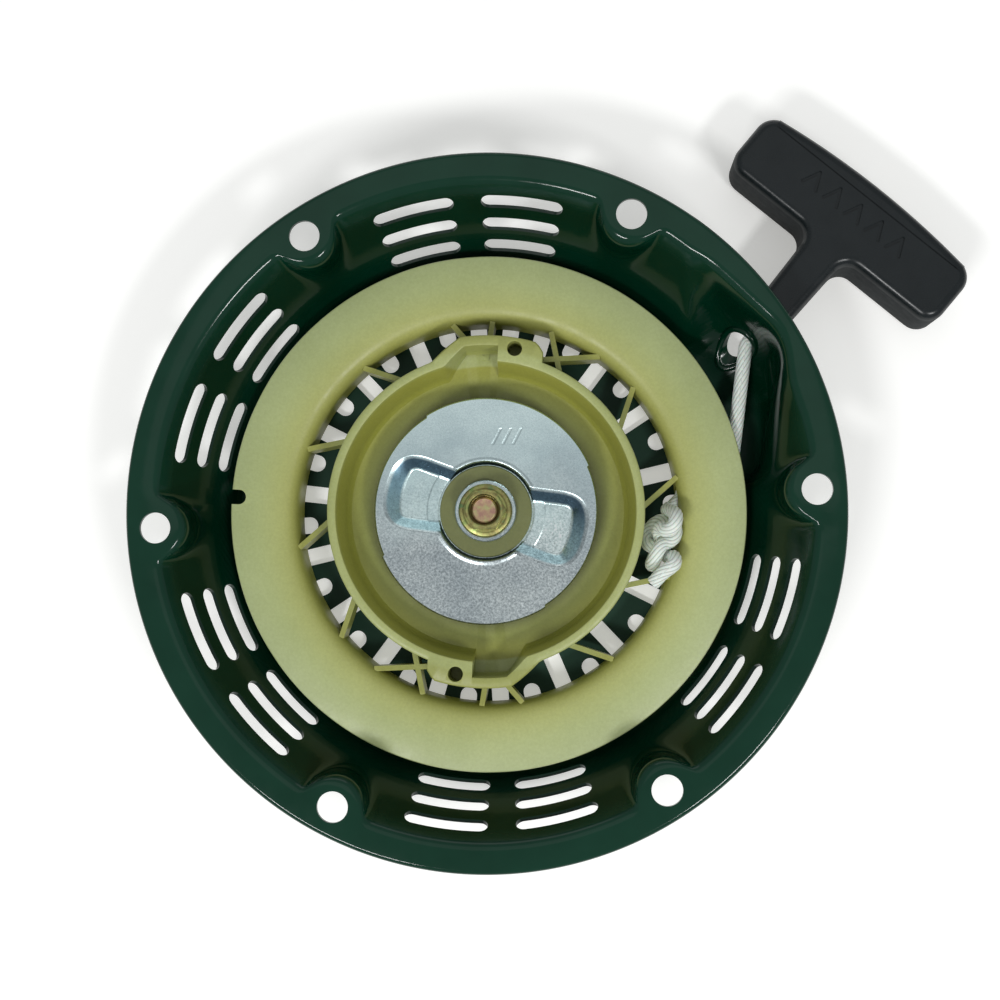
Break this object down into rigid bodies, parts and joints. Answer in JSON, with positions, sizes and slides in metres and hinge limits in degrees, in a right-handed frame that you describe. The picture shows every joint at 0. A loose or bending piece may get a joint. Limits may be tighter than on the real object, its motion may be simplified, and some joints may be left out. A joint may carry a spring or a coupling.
{
  "type": "recoil starter",
  "caption": "Pull-rope recoil starter for a small engine: pressed green steel case, nylon reel with ratchet guide and pawls, white rope and black T-handle.",
  "frame": {"origin": "on the shaft axis, in the plane of the case's outer front face", "axes": "+Z along the shaft axis towards the engine, X and Y in the plane of the front face, the handle between +X and +Y"},
  "size_m": [0.2202, 0.1979, 0.032],
  "materials": {
    "green_paint": "gloss",
    "nylon": "satin",
    "rope": "braided",
    "zinc": "satin",
    "steel": "satin",
    "spring_steel": "oiled",
    "yellow_zinc": "gloss",
    "black_plastic": "satin"
  },
  "bodies": {
    "housing": {"case": "green_paint", "centre_post": "steel", "recoil_spring": "spring_steel", "rope_lead": "rope", "friction_spring": "spring_steel", "friction_washer": "nylon", "clamp_washer": "zinc", "centre_bolt": "yellow_zinc"},
    "reel": {"reel": "nylon", "rope_coil": "rope", "rope_reel_knot": "rope", "pawl_spring_1": "spring_steel", "pawl_spring_2": "spring_steel"},
    "guide": {"ratchet_guide": "zinc"},
    "first_pawl": {"pawl_1": "steel"},
    "second_pawl": {"pawl_2": "steel"},
    "handle": {"handle_grip": "black_plastic", "handle_retainer": "zinc", "rope_pull": "rope"}
  },
  "joints": [
    {"name": "reel_turn", "type": "hinge", "parent": "housing", "child": "reel", "pos_m": [0, 0, 0.0097], "axis": [0, 0, 1], "range_deg": [0, 1000], "stiffness_Nm_per_rad": 0.025, "springref_deg": -687.55, "deforming": ["rope_coil", "recoil_spring"]},
    {"name": "handle_pull", "type": "slide", "parent": "housing", "child": "handle", "axis": [0.6401, 0.7683, 0], "range_m": [0, 1.04], "deforming": ["rope_pull"]},
    {"name": "guide_turn", "type": "hinge", "parent": "reel", "child": "guide", "pos_m": [0, 0, 0.0197], "axis": [0, 0, 1], "range_deg": [-20, 0]},
    {"name": "pawl_1_swing", "type": "hinge", "parent": "reel", "child": "first_pawl", "pos_m": [0.01537, 0.01201, 0.0148], "axis": [0, 0, 1], "range_deg": [-22, 0], "stiffness_Nm_per_rad": 0.002, "springref_deg": 11.46, "deforming": ["pawl_spring_1"]},
    {"name": "pawl_2_swing", "type": "hinge", "parent": "reel", "child": "second_pawl", "pos_m": [-0.01537, -0.01201, 0.0148], "axis": [0, 0, 1], "range_deg": [-22, 0], "stiffness_Nm_per_rad": 0.002, "springref_deg": 11.46, "deforming": ["pawl_spring_2"]}
  ],
  "couplings": [
    {"joint": "handle_pull", "follows": "reel_turn", "m_per_rad": 0.0595},
    {"joint": "pawl_1_swing", "follows": "guide_turn", "ratio": 1.1},
    {"joint": "pawl_2_swing", "follows": "guide_turn", "ratio": 1.1}
  ]
}
